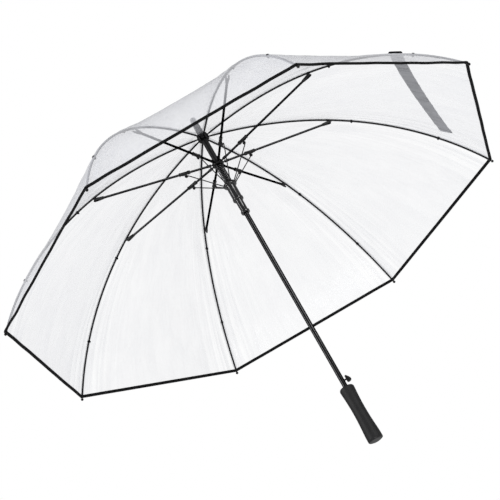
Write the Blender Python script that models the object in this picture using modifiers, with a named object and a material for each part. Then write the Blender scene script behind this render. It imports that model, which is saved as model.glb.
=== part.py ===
"""Automatic stick umbrella with a clear dome canopy, modelled open.

The shaft stands on +Z. The origin is the centre of the handle's flat end.
Sizes are in metres. Every moving piece hangs from an empty on its hinge axis.
"""
import bpy
import bmesh
from math import sin, cos, tan, pi, radians, atan2, hypot
from mathutils import Matrix, Vector

# ---------------------------------------------------------------- main sizes
RIBS = 8
SECTOR = 2 * pi / RIBS
FIRST_RIB = radians(22.5)          # rib_1 stands half a sector past +X

GAP = 0.0003                       # clearance between neighbouring pieces

# shaft and handle
SHAFT_R = 0.0050
SHAFT_WALL = 0.0008
SHAFT_BOTTOM = 0.0100
SHAFT_TOP = 0.7850
END_CAP_R = 0.0135
END_CAP_H = 0.0050
GRIP_TOP = 0.1196
GRIP_PROFILE = (                   # (height, outer radius), top to bottom
    (0.1196, 0.0105), (0.1190, 0.0136), (0.1165, 0.0148), (0.1110, 0.0146),
    (0.0950, 0.0136), (0.0760, 0.0129), (0.0560, 0.0130), (0.0360, 0.0138),
    (0.0180, 0.0149), (0.0090, 0.0152), (0.0056, 0.0145),
)

# release button
BUTTON_Z = 0.1350
BUTTON_NECK_R = 0.0017
BUTTON_OUTLINE = ((0.0080, 0.1285), (0.0080, 0.1420), (0.0115, 0.1425),
                  (0.0172, 0.1335), (0.0165, 0.1290), (0.0120, 0.1280))
BUTTON_WIDTH = 0.0080

# ribs: a round rod bent evenly more and more towards its tip
HINGE_Z = 0.7600
RIB_HINGE_R = 0.0085
RIB_LENGTH = 0.6303
RIB_SLOPE = radians(3.6)
RIB_BEND = radians(53.5)
RIB_BEND_POWER = 1.22
RIB_R = 0.00175
TIP_R = 0.0029

# top notch and ferrule
NOTCH_R = 0.0125
NOTCH_BOTTOM = 0.7546
NOTCH_TOP = 0.7648
NOTCH_SLOT_TOP = 0.7620
NOTCH_SLOT_W = 0.0032
NOTCH_SLOT_IN = 0.0067
PIN_X = 0.0075
PIN_R = 0.0006
NOTCH_PIN_Z = 0.7634
FERRULE_TOP = 0.8147

# stretcher hub, stretchers, forked connectors
HUB_Z = 0.6882                     # height of the stretcher hinges
HUB_HINGE_R = 0.0090
HUB_R = 0.0125
HUB_SLEEVE_R = 0.0064
HUB_SLOT_W = 0.0026
HUB_PIN_Z = 0.6852
CLIP_R = 0.2690                    # pivot between stretcher and rib
CLIP_Z = 0.6982
STRETCHER_W = 0.0042
STRETCHER_H = 0.0034
CHANNEL_WALL = 0.0006
LUG_W = 0.0018
BRACKET_R = 0.0742                 # wire eye on the stretcher
BRACKET_Z = 0.6828
FORK_W = 0.0076
FORK_SLOT_W = 0.0043
FORK_H = 0.0064

# runner, wires, spring
RING_Z = 0.6304                    # height of the wire hinges on the runner
RING_HINGE_R = 0.0120
RING_R = 0.0138
RUNNER_BORE = SHAFT_R + GAP
HOUSING_BORE = 0.0089
SHOULDER_Z = 0.5920
RUNNER_BOTTOM = 0.5545
WIRE_R = 0.0010
WIRE_SIDE = 0.0036                 # the wire's outer end runs beside the stretcher
SPRING_R = 0.0077
SPRING_WIRE_R = 0.0009
SPRING_TURNS = 22

# canopy film
FILM = 0.0002
FILM_OFFSET = 0.0023               # film above the rib's centreline
FILM_CROWN = 0.0034                # extra height over the top notch
FILM_SAG = 0.0070
FILM_HOLE = 0.0062
FILM_EDGE = 0.6285                 # length along the rib to the rim
FILM_NEAR_TOP = (0.0, 0.0080, 0.0250)   # first stations along the rib
FILM_SPANS = 10                    # even spans from there to the rim
FILM_COLS = 6

# closing strap, lying on the last canopy panel
STRAP_START = (0.468, 0.02)        # (length along the rib, share across the panel)
STRAP_END = (0.532, 0.893)
STRAP_BOW = -0.019                 # sideways bow of the strap on the film
STRAP_W = 0.0290
STRAP_T = 0.0006


# ---------------------------------------------------------------- scene setup
for old in list(bpy.data.objects):
    bpy.data.objects.remove(old, do_unlink=True)

PARTS = bpy.data.collections.new("stick_umbrella")
CUTTERS = bpy.data.collections.new("cutters")
bpy.context.scene.collection.children.link(PARTS)
bpy.context.scene.collection.children.link(CUTTERS)


def material(name, color, roughness, metallic=0.0, alpha=1.0):
    mat = bpy.data.materials.new(name)
    mat.use_nodes = True
    shader = mat.node_tree.nodes["Principled BSDF"]
    shader.inputs["Base Color"].default_value = (*color, 1.0)
    shader.inputs["Roughness"].default_value = roughness
    shader.inputs["Metallic"].default_value = metallic
    shader.inputs["Alpha"].default_value = alpha
    return mat


BLACK_STEEL = (0.020, 0.020, 0.022)
BLACK_PLASTIC = (0.016, 0.016, 0.018)


def own_material(name, kind):
    if kind == "steel":
        return material(name, BLACK_STEEL, 0.32, 0.6)
    if kind == "fibreglass":
        return material(name, (0.022, 0.022, 0.024), 0.38)
    if kind == "plastic":
        return material(name, BLACK_PLASTIC, 0.42)
    if kind == "foam":
        return material(name, (0.035, 0.035, 0.038), 0.85)
    if kind == "film":
        return material(name, (0.90, 0.91, 0.93), 0.18, 0.0, 0.25)
    if kind == "strap":
        return material(name, (0.12, 0.12, 0.13), 0.6)
    return material(name, (0.45, 0.45, 0.47), 0.3, 1.0)


def place(obj, kind, parent=None, coll=None):
    (coll or PARTS).objects.link(obj)
    if obj.type in {"MESH", "CURVE"} and kind:
        obj.data.materials.clear() if not obj.data.users > 1 else None
        if obj.data.users > 1:
            obj.material_slots[0].link = "OBJECT"
            obj.material_slots[0].material = own_material(obj.name, kind)
        else:
            obj.data.materials.append(own_material(obj.name, kind))
    if parent is not None:
        obj.parent = parent
    return obj


def empty(name, location=(0, 0, 0), turn=0.0, parent=None):
    obj = bpy.data.objects.new(name, None)
    obj.empty_display_size = 0.01
    obj.location = location
    obj.rotation_euler = (0, 0, turn)
    PARTS.objects.link(obj)
    if parent is not None:
        obj.parent = parent
    return obj


def hide_cutter(obj):
    obj.hide_render = True
    obj.display_type = "WIRE"
    return obj


def smooth(mesh, angle=35):
    mesh.shade_smooth()
    mesh.set_sharp_from_angle(angle=radians(angle))


# ---------------------------------------------------------------- shape tools
def turned(name, profile, kind, steps=24, closed=False, parent=None):
    """A profile of (radius, height) turned about Z; outer side first, top to bottom."""
    mesh = bpy.data.meshes.new(name)
    bm = bmesh.new()
    verts = [bm.verts.new((r, 0, z)) for r, z in profile]
    for a, b in zip(verts, verts[1:]):
        bm.edges.new((a, b))
    if closed:
        bm.edges.new((verts[-1], verts[0]))
    bm.to_mesh(mesh)
    bm.free()
    obj = bpy.data.objects.new(name, mesh)
    place(obj, kind, parent)
    mod = obj.modifiers.new("turn", "SCREW")
    mod.axis = "Z"
    mod.steps = steps
    mod.render_steps = steps
    mod.use_merge_vertices = True
    mod.merge_threshold = 0.00001
    mod.use_smooth_shade = True
    return obj


def box_mesh(bm, low, high):
    """Adds a box between two corners."""
    size = [h - l for l, h in zip(low, high)]
    mid = [(h + l) / 2 for l, h in zip(low, high)]
    m = Matrix.Translation(mid) @ Matrix.Diagonal((*size, 1))
    return bmesh.ops.create_cube(bm, size=1, matrix=m)["verts"]


def mesh_object(name, bm, kind=None, parent=None, coll=None):
    mesh = bpy.data.meshes.new(name)
    bm.to_mesh(mesh)
    bm.free()
    obj = bpy.data.objects.new(name, mesh)
    return place(obj, kind, parent, coll)


def cutter(name, boxes=(), pins=()):
    """Boxes (low, high, turn about Z) and round pins (centre, radius, length along Y)."""
    bm = bmesh.new()
    for low, high, turn in boxes:
        verts = box_mesh(bm, low, high)
        bmesh.ops.rotate(bm, cent=(0, 0, 0), matrix=Matrix.Rotation(turn, 3, "Z"), verts=verts)
    for centre, radius, length in pins:
        m = Matrix.Translation(centre) @ Matrix.Rotation(pi / 2, 4, "X")
        bmesh.ops.create_cone(bm, cap_ends=True, segments=16, radius1=radius,
                              radius2=radius, depth=length, matrix=m)
    return hide_cutter(mesh_object(name, bm, coll=CUTTERS))


def boolean(obj, tool, how="DIFFERENCE"):
    mod = obj.modifiers.new("cut" if how == "DIFFERENCE" else "join", "BOOLEAN")
    mod.operation = how
    mod.object = tool
    mod.solver = "EXACT"
    return mod


def rod(name, points, radius, kind, radii=None, resolution=1, parent=None):
    """A round rod through the points, with filled ends."""
    curve = bpy.data.curves.new(name, "CURVE")
    curve.dimensions = "3D"
    spline = curve.splines.new("POLY")
    spline.points.add(len(points) - 1)
    for i, p in enumerate(points):
        spline.points[i].co = (*p, 1.0)
        spline.points[i].radius = radii[i] if radii else 1.0
    spline.use_smooth = True
    curve.bevel_depth = radius
    curve.bevel_resolution = resolution
    curve.use_fill_caps = True
    obj = bpy.data.objects.new(name, curve)
    return place(obj, kind, parent)


# ---------------------------------------------------------------- rib geometry
def rib_point(length, offset=0.0):
    """(radius, height) on the rib at a length from its hinge, offset outwards."""
    steps = max(2, int(abs(length) / 0.004) + 2)
    r, z = RIB_HINGE_R, HINGE_Z
    ds = length / steps
    for i in range(steps):
        s = (i + 0.5) * ds
        slope = rib_slope(s)
        r += cos(slope) * ds
        z -= sin(slope) * ds
    slope = rib_slope(length)
    return r + offset * sin(slope), z + offset * cos(slope)


def rib_slope(length):
    return RIB_SLOPE + RIB_BEND * max(0.0, length / RIB_LENGTH) ** RIB_BEND_POWER


def film_point(length, across, lift=0.0):
    """A point on a canopy panel whose ribs stand at 0 and one sector further on."""
    if length < 0.004:
        r, z = FILM_HOLE + (length + 0.0005), 0.0
        _, z = rib_point(0.0)
        slope = RIB_SLOPE
    else:
        r, z = rib_point(length)
        slope = rib_slope(length)
    offset = FILM_OFFSET + lift + FILM_CROWN * 2.718281828 ** (-(max(0.0, r - 0.013) / 0.020) ** 2)
    r += offset * sin(slope)
    z += offset * cos(slope)
    a = Vector((r, 0, z))
    b = Vector((r * cos(SECTOR), r * sin(SECTOR), z))
    p = a.lerp(b, across)
    mid = SECTOR / 2
    normal = Vector((cos(mid) * sin(slope), sin(mid) * sin(slope), cos(slope)))
    span = min(1.0, max(0.0, length / RIB_LENGTH))
    return p - normal * FILM_SAG * 4 * across * (1 - across) * sin(pi * span)


def rib_angle(i):
    return FIRST_RIB + i * SECTOR


# the rods and the film bend at the same stations, so the gap between them stays even
STATIONS = list(FILM_NEAR_TOP) + [
    FILM_NEAR_TOP[-1] + (FILM_EDGE - FILM_NEAR_TOP[-1]) * (k + 1) / FILM_SPANS for k in range(FILM_SPANS)]


# ---------------------------------------------------------------- shaft, handle
shaft = turned("shaft", (
    (SHAFT_R, SHAFT_TOP), (SHAFT_R, SHAFT_BOTTOM),
    (SHAFT_R - SHAFT_WALL, SHAFT_BOTTOM), (SHAFT_R - SHAFT_WALL, SHAFT_TOP)),
    "steel", steps=24, closed=True)
boolean(shaft, cutter("button_slot", boxes=(
    ((0.0, -BUTTON_NECK_R - 0.0004, BUTTON_Z - BUTTON_NECK_R - 0.0004),
     (SHAFT_R + 0.002, BUTTON_NECK_R + 0.0004, BUTTON_Z + BUTTON_NECK_R + 0.0004), 0.0),)))

turned("handle_end_cap", (
    (0.0, 0.0095), (0.0044, 0.0095), (0.0044, END_CAP_H), (END_CAP_R, END_CAP_H),
    (END_CAP_R, 0.0024), (0.0128, 0.0010), (0.0112, 0.0), (0.0, 0.0)), "plastic", steps=32)

turned("handle_grip", tuple((r, z) for z, r in GRIP_PROFILE)
       + ((SHAFT_R + GAP, END_CAP_H + 0.0006), (SHAFT_R + GAP, GRIP_TOP)),
       "foam", steps=28, closed=True)

button_axis = empty("button_axis", (0, 0, BUTTON_Z))
outline = bmesh.new()
ring = [outline.verts.new((x, -BUTTON_WIDTH / 2, z - BUTTON_Z)) for x, z in BUTTON_OUTLINE]
face = outline.faces.new(ring)
side = bmesh.ops.extrude_face_region(outline, geom=[face])
bmesh.ops.translate(outline, vec=(0, BUTTON_WIDTH, 0),
                    verts=[v for v in side["geom"] if isinstance(v, bmesh.types.BMVert)])
bmesh.ops.recalc_face_normals(outline, faces=outline.faces)
bmesh.ops.bevel(outline, geom=list(outline.edges), offset=0.0010, segments=1, affect="EDGES")
button = mesh_object("release_button", outline, "plastic", button_axis)
neck = bmesh.new()
bmesh.ops.create_cone(neck, cap_ends=True, segments=12, radius1=BUTTON_NECK_R, radius2=BUTTON_NECK_R,
                      depth=0.0100, matrix=Matrix.Translation((0.0042, 0, 0)) @ Matrix.Rotation(pi / 2, 4, "Y"))
neck_tool = hide_cutter(mesh_object("button_neck", neck, coll=CUTTERS))
neck_tool.location = (0, 0, BUTTON_Z)
boolean(button, neck_tool, "UNION")

# ---------------------------------------------------------------- ferrule, notch
turned("ferrule", (
    (0.0, FERRULE_TOP), (0.0040, FERRULE_TOP - 0.0004), (0.0056, FERRULE_TOP - 0.0018),
    (0.0062, FERRULE_TOP - 0.0040), (0.0068, 0.7900), (0.0076, 0.7690), (0.0110, 0.7683),
    (0.0114, 0.7672),
    (SHAFT_R + GAP, 0.7672), (SHAFT_R + GAP, SHAFT_TOP + GAP), (0.0, SHAFT_TOP + GAP)),
    "plastic", steps=24)

top_notch = turned("top_notch", (
    (NOTCH_R - 0.0010, NOTCH_TOP), (NOTCH_R, NOTCH_TOP - 0.0010), (NOTCH_R, NOTCH_BOTTOM + 0.0008),
    (NOTCH_R - 0.0008, NOTCH_BOTTOM), (SHAFT_R + GAP, NOTCH_BOTTOM), (SHAFT_R + GAP, NOTCH_TOP)),
    "plastic", steps=32, closed=True)
boolean(top_notch, cutter("notch_slots", boxes=[
    ((NOTCH_SLOT_IN, -NOTCH_SLOT_W / 2, NOTCH_BOTTOM - 0.002),
     (NOTCH_R + 0.003, NOTCH_SLOT_W / 2, NOTCH_SLOT_TOP), rib_angle(i)) for i in range(RIBS)],
    pins=(((PIN_X, 0, NOTCH_PIN_Z), PIN_R + GAP + 0.0001, 0.030),)))


def pin(name, z, length):
    axis = empty(name + "_axis", (PIN_X, 0, z))
    bm = bmesh.new()
    bmesh.ops.create_cone(bm, cap_ends=True, segments=16, radius1=PIN_R, radius2=PIN_R,
                          depth=length, matrix=Matrix.Rotation(pi / 2, 4, "X"))
    obj = mesh_object(name, bm, "bare", axis)
    smooth(obj.data, 40)
    return obj


pin("notch_pin", NOTCH_PIN_Z, 0.0190)
pin("hub_pin", HUB_PIN_Z, 0.0190)

# ---------------------------------------------------------------- hub
hub_slide = empty("hub_slide", (0, 0, HUB_Z))
hub = turned("stretcher_hub", (
    (HUB_SLEEVE_R, NOTCH_BOTTOM - 0.0008 - HUB_Z), (HUB_SLEEVE_R, 0.0046), (0.0070, 0.0034),
    (HUB_R, 0.0030), (HUB_R, -0.0036), (0.0115, -0.0045), (SHAFT_R + GAP, -0.0045),
    (SHAFT_R + GAP, NOTCH_BOTTOM - 0.0008 - HUB_Z)),
    "plastic", steps=32, closed=True, parent=hub_slide)
boolean(hub, cutter("hub_slots", boxes=[
    ((0.0072, -HUB_SLOT_W / 2, HUB_Z - 0.0020),
     (HUB_R + 0.003, HUB_SLOT_W / 2, HUB_Z + 0.0060), rib_angle(i)) for i in range(RIBS)],
    pins=(((PIN_X, 0, HUB_PIN_Z), PIN_R + GAP + 0.0001, 0.030),)))

# ---------------------------------------------------------------- spring
coil = []
for k in range(SPRING_TURNS * 8 + 1):
    t = k / (SPRING_TURNS * 8)
    top, bottom = -0.0045 - 0.0004 - SPRING_WIRE_R, SHOULDER_Z - HUB_Z + 0.0004 + SPRING_WIRE_R
    a = 2 * pi * SPRING_TURNS * t
    coil.append((SPRING_R * cos(a), SPRING_R * sin(a), top + (bottom - top) * t))
rod("opening_spring", coil, SPRING_WIRE_R, "bare", resolution=2, parent=hub_slide)

# ---------------------------------------------------------------- runner
runner_slide = empty("runner_slide", (0, 0, RING_Z))
rz = RING_Z
runner = turned("runner", (
    (0.0104, 0.0030), (RING_R, 0.0026), (RING_R, -0.0034), (0.0108, -0.0040),
    (0.0102, -0.0060), (0.0102, 0.5945 - rz), (0.0114, 0.5935 - rz), (0.0114, 0.5895 - rz),
    (0.0104, 0.5885 - rz), (0.0078, 0.5880 - rz), (0.0076, 0.5605 - rz), (0.0094, 0.5598 - rz),
    (0.0094, 0.5556 - rz), (0.0086, RUNNER_BOTTOM - rz), (RUNNER_BORE, RUNNER_BOTTOM - rz),
    (RUNNER_BORE, SHOULDER_Z - rz), (HOUSING_BORE, SHOULDER_Z - rz), (HOUSING_BORE, 0.0030)),
    "plastic", steps=32, closed=True, parent=runner_slide)
boolean(runner, cutter("ring_slots", boxes=[
    ((0.0104, -0.0015, RING_Z - 0.0016), (RING_R + 0.003, 0.0015, RING_Z + 0.006), rib_angle(i))
    for i in range(RIBS)]))

# ---------------------------------------------------------------- rib assemblies
stretcher_length = hypot(CLIP_R - HUB_HINGE_R, CLIP_Z - HUB_Z)
stretcher_rise = atan2(CLIP_Z - HUB_Z, CLIP_R - HUB_HINGE_R)
eye_along = (BRACKET_R - HUB_HINGE_R) * cos(stretcher_rise) + (BRACKET_Z - HUB_Z) * sin(stretcher_rise)
eye_down = (BRACKET_Z - HUB_Z) * cos(stretcher_rise) - (BRACKET_R - HUB_HINGE_R) * sin(stretcher_rise)


def stretcher_mesh():
    """Channel bar with a thin lug at each end and the wire eye's bracket."""
    bar = bmesh.new()
    w, h = STRETCHER_W / 2, STRETCHER_H / 2
    box_mesh(bar, (0.0062, -w, -h), (stretcher_length - 0.0142, w, h))
    base = mesh_object("stretcher_bar", bar, coll=CUTTERS)
    groove = bmesh.new()
    box_mesh(groove, (0.0, -w + CHANNEL_WALL, -h - 0.001),
             (stretcher_length, w - CHANNEL_WALL, h - CHANNEL_WALL))
    groove_tool = mesh_object("stretcher_groove", groove, coll=CUTTERS)
    boolean(base, groove_tool)
    lugs = bmesh.new()
    box_mesh(lugs, (-0.0012, -LUG_W / 2, -0.0013), (0.0080, LUG_W / 2, 0.0013))
    box_mesh(lugs, (stretcher_length - 0.0160, -LUG_W / 2, -0.0013),
             (stretcher_length - 0.0068, LUG_W / 2, 0.0013))
    box_mesh(lugs, (eye_along + 0.0020, -0.0029, -0.0027), (eye_along + 0.0240, 0.0029, 0.0027))
    lug_tool = mesh_object("stretcher_lugs", lugs, coll=CUTTERS)
    web = bmesh.new()
    box_mesh(web, (eye_along - 0.0024, -0.0012, eye_down - 0.0018), (eye_along + 0.0060, 0.0012, 0.0))
    web_tool = mesh_object("bracket_web", web, coll=CUTTERS)
    boss = bmesh.new()
    box_mesh(boss, (eye_along - 0.0016, -0.0006, eye_down - 0.0012),
             (eye_along + 0.0012, WIRE_SIDE - WIRE_R - GAP, eye_down + 0.0012))
    boss_tool = mesh_object("bracket_boss", boss, coll=CUTTERS)
    for tool in (lug_tool, web_tool, boss_tool):
        boolean(base, tool, "UNION")
    return bake("stretcher", base, (groove_tool, lug_tool, web_tool, boss_tool))


def bake(name, base, tools):
    """The evaluated shape as a plain mesh that all copies share."""
    graph = bpy.context.evaluated_depsgraph_get()
    mesh = bpy.data.meshes.new_from_object(base.evaluated_get(graph))
    mesh.name = name
    for obj in (base, *tools):
        bpy.data.objects.remove(obj, do_unlink=True)
    mesh.materials.clear()
    return mesh


def fork_mesh():
    """A sleeve over the stretcher's end whose two cheeks stand beside the rib."""
    body = bmesh.new()
    box_mesh(body, (stretcher_length - 0.0138, -FORK_W / 2, -FORK_H / 2),
             (stretcher_length + 0.0042, FORK_W / 2, FORK_H / 2))
    bmesh.ops.bevel(body, geom=[e for e in body.edges if abs(e.verts[0].co.y - e.verts[1].co.y) > 0.001
                                and e.verts[0].co.x > stretcher_length],
                    offset=0.0022, segments=2, affect="EDGES")
    base = mesh_object("fork_body", body, coll=CUTTERS)
    slot = bmesh.new()
    box_mesh(slot, (stretcher_length - 0.0064, -FORK_SLOT_W / 2, -0.01),
             (stretcher_length + 0.01, FORK_SLOT_W / 2, 0.01))
    slot_tool = mesh_object("fork_slot", slot, coll=CUTTERS)
    socket = bmesh.new()
    box_mesh(socket, (stretcher_length - 0.020, -LUG_W / 2 - GAP, -0.0013 - GAP),
             (stretcher_length - 0.0055, LUG_W / 2 + GAP, 0.0013 + GAP))
    socket_tool = mesh_object("fork_socket", socket, coll=CUTTERS)
    for tool in (slot_tool, socket_tool):
        boolean(base, tool)
    return bake("rib_connector", base, (slot_tool, socket_tool))


def film_mesh():
    """One canopy panel as an open sheet, in the frame of its first rib."""
    mesh = bpy.data.meshes.new("canopy_panel")
    bm = bmesh.new()
    rows = len(STATIONS) - 1
    bmesh.ops.create_grid(bm, x_segments=FILM_COLS, y_segments=rows, size=0.5)
    for v in bm.verts:
        across, along = v.co.x + 0.5, v.co.y + 0.5
        p = film_point(STATIONS[round(along * rows)], across)
        # keep half a millimetre between this panel and the next one
        a = atan2(p.y, p.x)
        keep = 0.00025 / max(0.004, hypot(p.x, p.y))
        a = min(max(a, keep), SECTOR - keep)
        r = hypot(p.x, p.y)
        v.co = (r * cos(a), r * sin(a), p.z)
    bmesh.ops.recalc_face_normals(bm, faces=bm.faces)
    bm.to_mesh(mesh)
    bm.free()
    mesh.shade_smooth()
    return mesh


def wire_points():
    reach, drop = BRACKET_R - RING_HINGE_R, BRACKET_Z - RING_Z
    return [(-0.0004, 0, -0.0003), (0.10 * reach, 0.0, 0.10 * drop),
            (0.90 * reach, WIRE_SIDE, 0.90 * drop), (reach + 0.0008, WIRE_SIDE, drop + 0.0006)]


shared_stretcher = stretcher_mesh()
shared_fork = fork_mesh()
shared_film = film_mesh()

rib_line = []
for s in [-0.0010] + STATIONS[1:] + [RIB_LENGTH]:
    r, z = rib_point(s)
    rib_line.append((r - RIB_HINGE_R, 0, z - HINGE_Z))
rib_radii = [0.60, 0.75] + [1.0] * (len(rib_line) - 2)

tip_r, tip_z = rib_point(RIB_LENGTH)
tip_slope = rib_slope(RIB_LENGTH)
PANEL_SIDE = RIB_HINGE_R * tan(SECTOR / 2)


def shared_object(name, mesh, kind, parent):
    obj = bpy.data.objects.new(name, mesh)
    PARTS.objects.link(obj)
    if not mesh.materials:
        mesh.materials.append(own_material(name + "_shared", kind))
    obj.material_slots[0].link = "OBJECT"
    obj.material_slots[0].material = own_material(name, kind)
    obj.parent = parent
    return obj


for i in range(RIBS):
    n = i + 1
    turn = rib_angle(i)
    c, s = cos(turn), sin(turn)

    rib_axis = empty("rib_%d_axis" % n, (RIB_HINGE_R * c, RIB_HINGE_R * s, HINGE_Z), turn)
    rod("rib_%d" % n, rib_line, RIB_R, "fibreglass", radii=rib_radii, parent=rib_axis)

    # the tip cap is turned about its own Z, then laid along the rib's end
    tip = turned("rib_tip_%d" % n, (
        (0.0, 0.0052), (0.0016, 0.0049), (TIP_R, 0.0032), (TIP_R, 0.0010), (0.0022, 0.0004),
        (0.0, 0.0004)), "plastic", steps=10, parent=rib_axis)
    tip.location = (tip_r - RIB_HINGE_R, 0, tip_z - HINGE_Z)
    tip.rotation_euler = (0, pi / 2 + tip_slope, 0)

    stretcher_axis = empty("stretcher_%d_axis" % n, (HUB_HINGE_R * c, HUB_HINGE_R * s, 0), turn, hub_slide)
    for name, mesh, kind in (("stretcher_%d" % n, shared_stretcher, "steel"),
                             ("rib_connector_%d" % n, shared_fork, "plastic")):
        obj = shared_object(name, mesh, kind, stretcher_axis)
        obj.rotation_euler = (0, -stretcher_rise, 0)

    wire_axis = empty("wire_%d_axis" % n, (RING_HINGE_R * c, RING_HINGE_R * s, 0), turn, runner_slide)
    rod("pull_wire_%d" % n, wire_points(), WIRE_R, "bare", resolution=1, parent=wire_axis)

    # a panel hangs on its first rib and turns about the point where both ribs' hinge axes meet;
    # its sheet is drawn from the shaft's axis, so it is set back from there
    panel_axis = empty("panel_%d_axis" % n, (0, PANEL_SIDE, 0), 0.0, rib_axis)
    panel = shared_object("canopy_panel_%d" % n, shared_film, "film", panel_axis)
    panel.location = (-RIB_HINGE_R, -PANEL_SIDE, -HINGE_Z)
    shell = panel.modifiers.new("film", "SOLIDIFY")
    shell.thickness = FILM
    shell.offset = 0.0
    shell.use_even_offset = False

# ---------------------------------------------------------------- closing strap
strap = bmesh.new()
bmesh.ops.create_grid(strap, x_segments=8, y_segments=2, size=0.5)
start, end = Vector(STRAP_START), Vector(STRAP_END)
p0, p1 = film_point(*STRAP_START), film_point(*STRAP_END)
strap_half_along = STRAP_W / 2
for v in strap.verts:
    t, w = v.co.x + 0.5, v.co.y * 2
    length = start.x + (end.x - start.x) * t + STRAP_BOW * t * (1 - t)
    across = start.y + (end.y - start.y) * t
    # step sideways along the rib direction by half the strap's width
    v.co = film_point(length + w * strap_half_along, across, lift=0.0012)
bmesh.ops.recalc_face_normals(strap, faces=strap.faces)
last_axis = bpy.data.objects["panel_%d_axis" % RIBS]
strap_obj = mesh_object("closing_strap", strap, "strap", last_axis)
strap_obj.location = (-RIB_HINGE_R, -PANEL_SIDE, -HINGE_Z)
shell = strap_obj.modifiers.new("band", "SOLIDIFY")
shell.thickness = STRAP_T
shell.offset = 0.0
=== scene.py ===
from math import sin, cos, tan, pi, radians, atan2, hypot, exp, sqrt

import bpy
import bmesh
from mathutils import Matrix, Vector, noise


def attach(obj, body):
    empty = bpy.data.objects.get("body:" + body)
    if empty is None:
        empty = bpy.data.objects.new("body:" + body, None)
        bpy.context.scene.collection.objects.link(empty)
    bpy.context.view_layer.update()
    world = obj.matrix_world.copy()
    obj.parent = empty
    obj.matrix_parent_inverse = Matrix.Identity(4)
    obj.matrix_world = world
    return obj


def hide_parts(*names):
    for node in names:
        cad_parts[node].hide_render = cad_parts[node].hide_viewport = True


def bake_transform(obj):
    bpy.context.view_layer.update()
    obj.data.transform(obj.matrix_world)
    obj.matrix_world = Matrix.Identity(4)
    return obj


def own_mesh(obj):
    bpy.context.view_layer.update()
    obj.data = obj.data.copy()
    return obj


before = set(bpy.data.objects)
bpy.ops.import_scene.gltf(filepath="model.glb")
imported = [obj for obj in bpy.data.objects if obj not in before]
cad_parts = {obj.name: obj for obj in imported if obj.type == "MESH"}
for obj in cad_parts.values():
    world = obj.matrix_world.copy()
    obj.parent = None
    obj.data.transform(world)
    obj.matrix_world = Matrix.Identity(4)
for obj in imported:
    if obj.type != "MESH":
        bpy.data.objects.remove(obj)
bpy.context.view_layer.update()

# ------------------------------------------------------------------ sizes, in metres
RIBS = 8
SECTOR = 2 * pi / RIBS
FIRST_RIB = radians(22.5)
SHAFT_R, SHAFT_WALL, SHAFT_BOTTOM, SHAFT_TOP = 0.0050, 0.0008, 0.0100, 0.7850
GAP = 0.0003
END_CAP_R, END_CAP_H, GRIP_TOP = 0.0135, 0.0050, 0.1196
HINGE_Z, RIB_HINGE_R = 0.7600, 0.0085
RIB_LENGTH, RIB_SLOPE, RIB_BEND, RIB_BEND_POWER = 0.6303, radians(3.6), radians(53.5), 1.22
RIB_R, TIP_R = 0.00175, 0.0029
ROD_R = 0.0019                     # lacquered rod with its seam thread
NOTCH_R, NOTCH_BOTTOM, NOTCH_TOP = 0.0125, 0.7546, 0.7648
HUB_Z, HUB_HINGE_R, HUB_R, HUB_SLEEVE_R = 0.6882, 0.0090, 0.0125, 0.0064
CLIP_R, CLIP_Z = 0.2690, 0.6982
EYE_R, EYE_Z = 0.0742, 0.6828
RING_Z, RING_HINGE_R, RING_R = 0.6304, 0.0120, 0.0138
SHOULDER_Z, RUNNER_BOTTOM, HOUSING_BORE = 0.5920, 0.5545, 0.0089
WIRE_R, WIRE_SIDE = 0.0010, 0.0036
SPRING_R, SPRING_WIRE_R, SPRING_TURNS = 0.0077, 0.0009, 22
FILM_OFFSET, FILM_CROWN, FILM_SAG = 0.0023, 0.0034, 0.0070
FILM_HOLE, FILM_EDGE = 0.0062, 0.6285
STRAP_START, STRAP_END, STRAP_W, STRAP_BOW = (0.468, 0.02), (0.532, 0.893), 0.0290, -0.019
BUTTON_Z = 0.1350


def rib_angle(i):
    return FIRST_RIB + i * SECTOR


def rib_slope(length):
    return RIB_SLOPE + RIB_BEND * max(0.0, length / RIB_LENGTH) ** RIB_BEND_POWER


LINE = [(RIB_HINGE_R, HINGE_Z)]
LINE_STEP = 0.0005
for k in range(int(0.66 / LINE_STEP)):
    slope = rib_slope((k + 0.5) * LINE_STEP)
    LINE.append((LINE[-1][0] + cos(slope) * LINE_STEP, LINE[-1][1] - sin(slope) * LINE_STEP))


def rib_point(length, offset=0.0):
    """(radius, height) at a length along the rib, offset outwards."""
    slope = rib_slope(length)
    if length <= 0:
        r, z = RIB_HINGE_R + cos(RIB_SLOPE) * length, HINGE_Z - sin(RIB_SLOPE) * length
    else:
        k = min(int(length / LINE_STEP), len(LINE) - 2)
        t = length / LINE_STEP - k
        r = LINE[k][0] + (LINE[k + 1][0] - LINE[k][0]) * t
        z = LINE[k][1] + (LINE[k + 1][1] - LINE[k][1]) * t
    return r + offset * sin(slope), z + offset * cos(slope)


def film_point(length, across, lift=0.0, panel=0):
    """A point of a canopy panel whose ribs stand at 0 and one sector further on."""
    if length < 0.004:
        r, z, slope = FILM_HOLE + length + 0.0005, HINGE_Z, RIB_SLOPE
    else:
        r, z = rib_point(length)
        slope = rib_slope(length)
    offset = FILM_OFFSET + FILM_CROWN * exp(-(max(0.0, r - 0.013) / 0.020) ** 2)
    r += offset * sin(slope)
    z += offset * cos(slope)
    a, b = Vector((r, 0, z)), Vector((r * cos(SECTOR), r * sin(SECTOR), z))
    mid = SECTOR / 2
    normal = Vector((cos(mid) * sin(slope), sin(mid) * sin(slope), cos(slope)))
    span = min(1.0, max(0.0, length / RIB_LENGTH))
    bow = 4 * across * (1 - across)
    sag = FILM_SAG * bow * sin(pi * span)
    return a.lerp(b, across) + normal * (lift - sag + ripple(length, across, panel, bow))


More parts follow.
